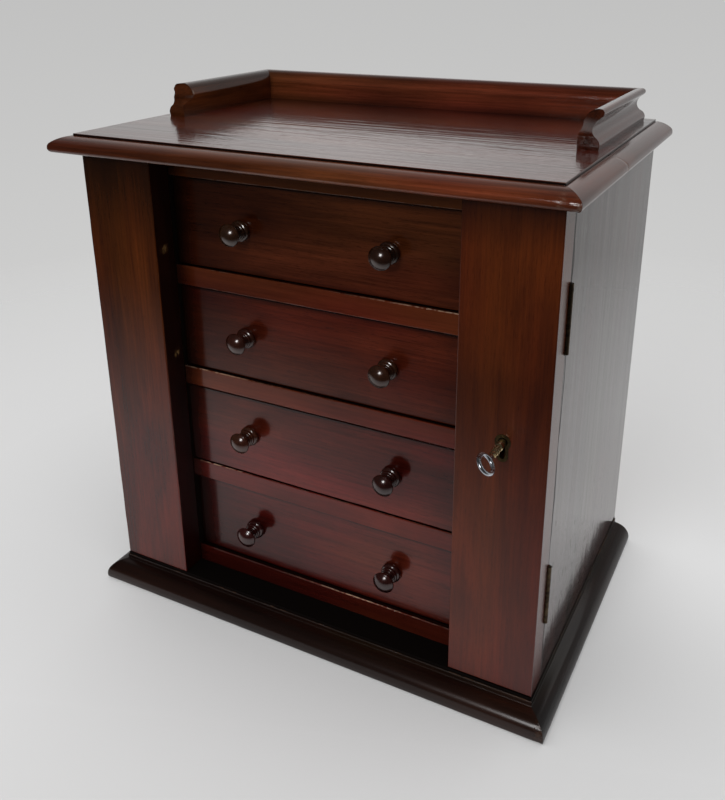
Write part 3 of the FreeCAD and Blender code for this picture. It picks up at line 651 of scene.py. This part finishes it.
# How far the left and the right knob sit below the middle of each drawer front, in millimetres.
knob_drops = [(1.4, 1.2), (0.7, 1.4), (-0.9, 1.4), (3.2, 2.6)]
for number, drops in enumerate(knob_drops, 1):
    body = "drawer_" + str(number)
    name = body + "_knobs"
    low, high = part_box(name)
    front_low, front_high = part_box(body + "_front")
    middle_z = (front_low.z + front_high.z) / 2
    turnings = []
    for centre_x, drop in zip((low.x + knob_head, high.x - knob_head), drops):
        centre_z = middle_z - drop * mm
        turnings.append(np.stack([
            centre_x + knob_radius[:, None] * np.cos(around),
            front_low.y - np.repeat(knob_reach[:, None], knob_facets, 1),
            centre_z + knob_radius[:, None] * np.sin(around)], -1))
    rows, columns = turnings[0].shape[:2]
    quads = ring_quads(rows, columns)
    caps = ring_caps(rows, columns)
    piece(name + "_turned", np.concatenate(turnings), np.vstack([quads, quads + rows * columns]),
          caps + [cap + rows * columns for cap in caps], knob_wood, body, "knob_mahogany", [name])

# Flap
# The hinged stile: one mahogany board on two brass butt hinges, with a lock let into its back and a keyhole
# with a bronze rim. The hinges and the rim have gone dark brown; the lock and the screws are still yellow.

# The flap is painted lighter low down, as light from the pale floor. It is also lighter in a band near the
# top, and at the very top painted shade under the top moulding darkens it.
flap_wood = polished_wood("flap_mahogany", along_z, (0.06, 0.006, 0.001), (0.135, 0.0155, 0.003), gloss=0.25,
                          pore=0.35, streak=0.22, painted_light_by_height=[
                              (0.08, 0.22, 1.3, 1.0), (0.28, 0.35, 0.75, 1.35), (0.375, 0.412, 1.0, 0.2)])
finish_node("flap_stile", flap_wood)


def old_metal(name, colour, tarnish, roughness):
    """Metal with cloudy tarnish: noise between the bright and the dull colour, rougher where dull."""
    material, tree, shader = blank_material(name)
    place = node(tree, "ShaderNodeTexCoord").outputs["Object"]
    clouds = stretched_noise(tree, place, along_x, along=300.0, across=300.0, detail=5.0)
    dulled = grade(tree, clouds, 0.35, 0.65, 0.0, 1.0)
    shader.inputs["Metallic"].default_value = 1.0
    tree.links.new(mixed(tree, dulled, (*colour, 1.0), (*tarnish, 1.0)), shader.inputs["Base Color"])
    rough = grade(tree, dulled, 0.0, 1.0, roughness * 0.7, roughness * 1.4)
    tree.links.new(rough, shader.inputs["Roughness"])
    return material


hinge_brass = old_metal("hinge_brass", (0.10, 0.07, 0.04), (0.03, 0.02, 0.014), 0.4)
for place in ("top", "bottom"):
    for part in ("case_leaf", "flap_leaf", "pin"):
        finish_node("hinge_" + place + "_" + part, hinge_brass)
lock_brass = old_metal("lock_brass", (0.42, 0.29, 0.13), (0.28, 0.19, 0.085), 0.35)
for name in ("case_screws", "flap_screws", "lock_case"):
    finish_node(name, lock_brass)
dark_bronze = old_metal("escutcheon_bronze", (0.1, 0.07, 0.03), (0.03, 0.02, 0.012), 0.5)
finish_node("keyhole_escutcheon", dark_bronze)

# Key
# A small steel key in the lock: a round bow, bright from handling, a beaded stem with old gilding and a
# duller barrel. The bolt and the staple of the lock are bare steel.

lock_steel = old_metal("lock_steel", (0.5, 0.48, 0.45), (0.3, 0.27, 0.24), 0.3)
for name in ("lock_bolt", "lock_staple"):
    finish_node(name, lock_steel)
key_bright, key_barrel = (0.66, 0.69, 0.74, 1.0), (0.55, 0.46, 0.3, 1.0)
key_gilt, key_rubbed_gilt = (0.85, 0.7, 0.42, 1.0), (0.55, 0.42, 0.22, 1.0)
barrel_end = front_plane - 8.4 * mm
gilt_end = front_plane - 22.0 * mm
key_metal, tree, shader = blank_material("key_steel")
place = node(tree, "ShaderNodeTexCoord").outputs["Object"]
depth = node(tree, "ShaderNodeSeparateXYZ", Vector=place).outputs["Y"]
clouds = stretched_noise(tree, place, along_x, along=500.0, across=500.0, detail=4.0)
gilding = mixed(tree, grade(tree, clouds, 0.4, 0.6, 0.0, 1.0), key_gilt, key_rubbed_gilt)
stem = mixed(tree, grade(tree, depth, barrel_end, barrel_end + 0.6 * mm, 0.0, 1.0), gilding, key_barrel)
coloured = mixed(tree, grade(tree, depth, gilt_end - 2 * mm, gilt_end, 0.0, 1.0), key_bright, stem)
tree.links.new(coloured, shader.inputs["Base Color"])
tree.links.new(grade(tree, clouds, 0.35, 0.65, 0.14, 0.3), shader.inputs["Roughness"])
shader.inputs["Metallic"].default_value = 1.0
finish_node("key", key_metal)

# Floor and surround
# A pale floor that ends a little way in front, where the room is darker, and a pale surround above and
# behind. One soft lamp stands in front, and a small one close over the floor on the right lightens the shadow
# there.

scene.view_settings.view_transform = "Standard"
floor_half = 5.0
floor_corners = [(-floor_half, -floor_half, 0.0), (floor_half, -floor_half, 0.0),
                 (floor_half, floor_half, 0.0), (-floor_half, floor_half, 0.0)]
floor_mesh = bpy.data.meshes.new("floor")
floor_mesh.from_pydata(floor_corners, [], [(0, 1, 2, 3)])
floor = bpy.data.objects.new("floor", floor_mesh)
scene.collection.objects.link(floor)
floor_material, tree, shader = blank_material("pale_floor")
shader.inputs["Base Color"].default_value = (0.78, 0.78, 0.785, 1.0)
shader.inputs["Roughness"].default_value = 0.7
shader.inputs["Specular IOR Level"].default_value = 0.1
place = node(tree, "ShaderNodeTexCoord").outputs["Object"]
axes = node(tree, "ShaderNodeSeparateXYZ", Vector=place).outputs
front_slant, front_end, front_full = -0.35, -0.56, -0.22
slanted = worked_out(tree, "MULTIPLY_ADD", axes["X"], front_slant, axes["Y"])
front_fade = grade(tree, slanted, front_end, front_full, 0.0, 1.0)
far_full, far_end = 0.5, 1.2
reach = node(tree, "ShaderNodeVectorMath", {"operation": "LENGTH"}, in0=place).outputs["Value"]
far_fade = grade(tree, reach, far_full, far_end, 1.0, 0.0)
shown = worked_out(tree, "MULTIPLY", front_fade, far_fade)
clear = node(tree, "ShaderNodeBsdfTransparent")
blend = node(tree, "ShaderNodeMixShader", in0=shown, in1=clear.outputs[0], in2=shader.outputs[0])
tree.links.new(blend.outputs[0], tree.nodes["Material Output"].inputs["Surface"])
floor_mesh.materials.append(floor_material)

# In the surround, overhead is what lights the chest, mirrored what the polish reflects, and seen what the
# camera sees.
world = bpy.data.worlds.new("pale_surround")
world.use_nodes = True
scene.world = world
tree = world.node_tree
direction = node(tree, "ShaderNodeTexCoord").outputs["Generated"]
axes = node(tree, "ShaderNodeSeparateXYZ", Vector=direction).outputs
path = node(tree, "ShaderNodeLightPath").outputs
brightest = (-0.12, -0.12, 0.985)
towards = node(tree, "ShaderNodeVectorMath", {"operation": "DOT_PRODUCT"}, in0=direction, in1=brightest)
overhead = grade(tree, towards.outputs["Value"], 0.1, 0.95, 0.11, 1.25)
across = worked_out(tree, "MULTIPLY", grade(tree, axes["X"], -0.45, 0.2, 0.8, 0.43),
                    grade(tree, axes["X"], -0.75, -0.5, 0.7, 1.0))
behind = worked_out(tree, "MULTIPLY", across, grade(tree, axes["Y"], 0.0, 0.45, 0.05, 1.0))
mirrored = worked_out(tree, "MULTIPLY", behind, grade(tree, axes["Z"], 0.4, 0.8, 1.0, 0.3))
seen = grade(tree, axes["Z"], -0.3, 0.0, 0.61, 0.53)
plain_numbers = {"data_type": "FLOAT"}
level = node(tree, "ShaderNodeMix", plain_numbers, in0=path["Is Glossy Ray"], in2=overhead, in3=mirrored)
level = node(tree, "ShaderNodeMix", plain_numbers, in0=path["Is Camera Ray"], in2=level.outputs[0], in3=seen)
background = tree.nodes["Background"]
background.inputs["Color"].default_value = (1.0, 0.998, 0.992, 1.0)
tree.links.new(level.outputs[0], background.inputs["Strength"])


def soft_light(name, place, aim, size, watts):
    """Square area light at place, facing aim."""
    lamp = bpy.data.lights.new(name, "AREA")
    lamp.size = size
    lamp.energy = watts
    holder = bpy.data.objects.new(name, lamp)
    holder.location = place
    holder.rotation_euler = (Vector(aim) - Vector(place)).to_track_quat("-Z", "Y").to_euler()
    scene.collection.objects.link(holder)


soft_light("room_lamp", place=(0.05, -1.55, 0.9), aim=(0.0, 0.0, 0.25), size=0.35, watts=6.0)
soft_light("side_lamp", place=(0.27, 0.12, 0.14), aim=(0.27, 0.12, 0.0), size=0.14, watts=0.05)

# Camera
# It stands where the photograph was taken: in front, to the right and above, looking down. The lens is
# shifted, because the middle of the lens isn't the middle of the picture.

image_width, image_height = 725.0, 800.0
focal_pixels = 877.66
centre_x, centre_y = 373.25, 301.98
yaw, pitch, roll = math.radians(-27.7285), math.radians(20.454), math.radians(-0.3091)
camera_place = Vector((0.33769, front_plane - 0.51684, 0.54237))
forward = Vector((math.sin(yaw) * math.cos(pitch), math.cos(yaw) * math.cos(pitch), -math.sin(pitch)))
level_right = forward.cross(Vector((0, 0, 1))).normalized()
level_up = level_right.cross(forward)
camera_right = level_right * math.cos(roll) + level_up * math.sin(roll)
camera_up = level_up * math.cos(roll) - level_right * math.sin(roll)
lens = bpy.data.cameras.new("camera")
lens.sensor_width = 36.0
lens.lens = focal_pixels * lens.sensor_width / image_height
lens.shift_x = (image_width / 2 - centre_x) / image_height
lens.shift_y = (centre_y - image_height / 2) / image_height
lens.clip_start = 0.01
camera = bpy.data.objects.new("camera", lens)
turn = Matrix((camera_right, camera_up, -forward)).transposed()
camera.matrix_world = Matrix.Translation(camera_place) @ turn.to_4x4()
scene.collection.objects.link(camera)
scene.camera = camera
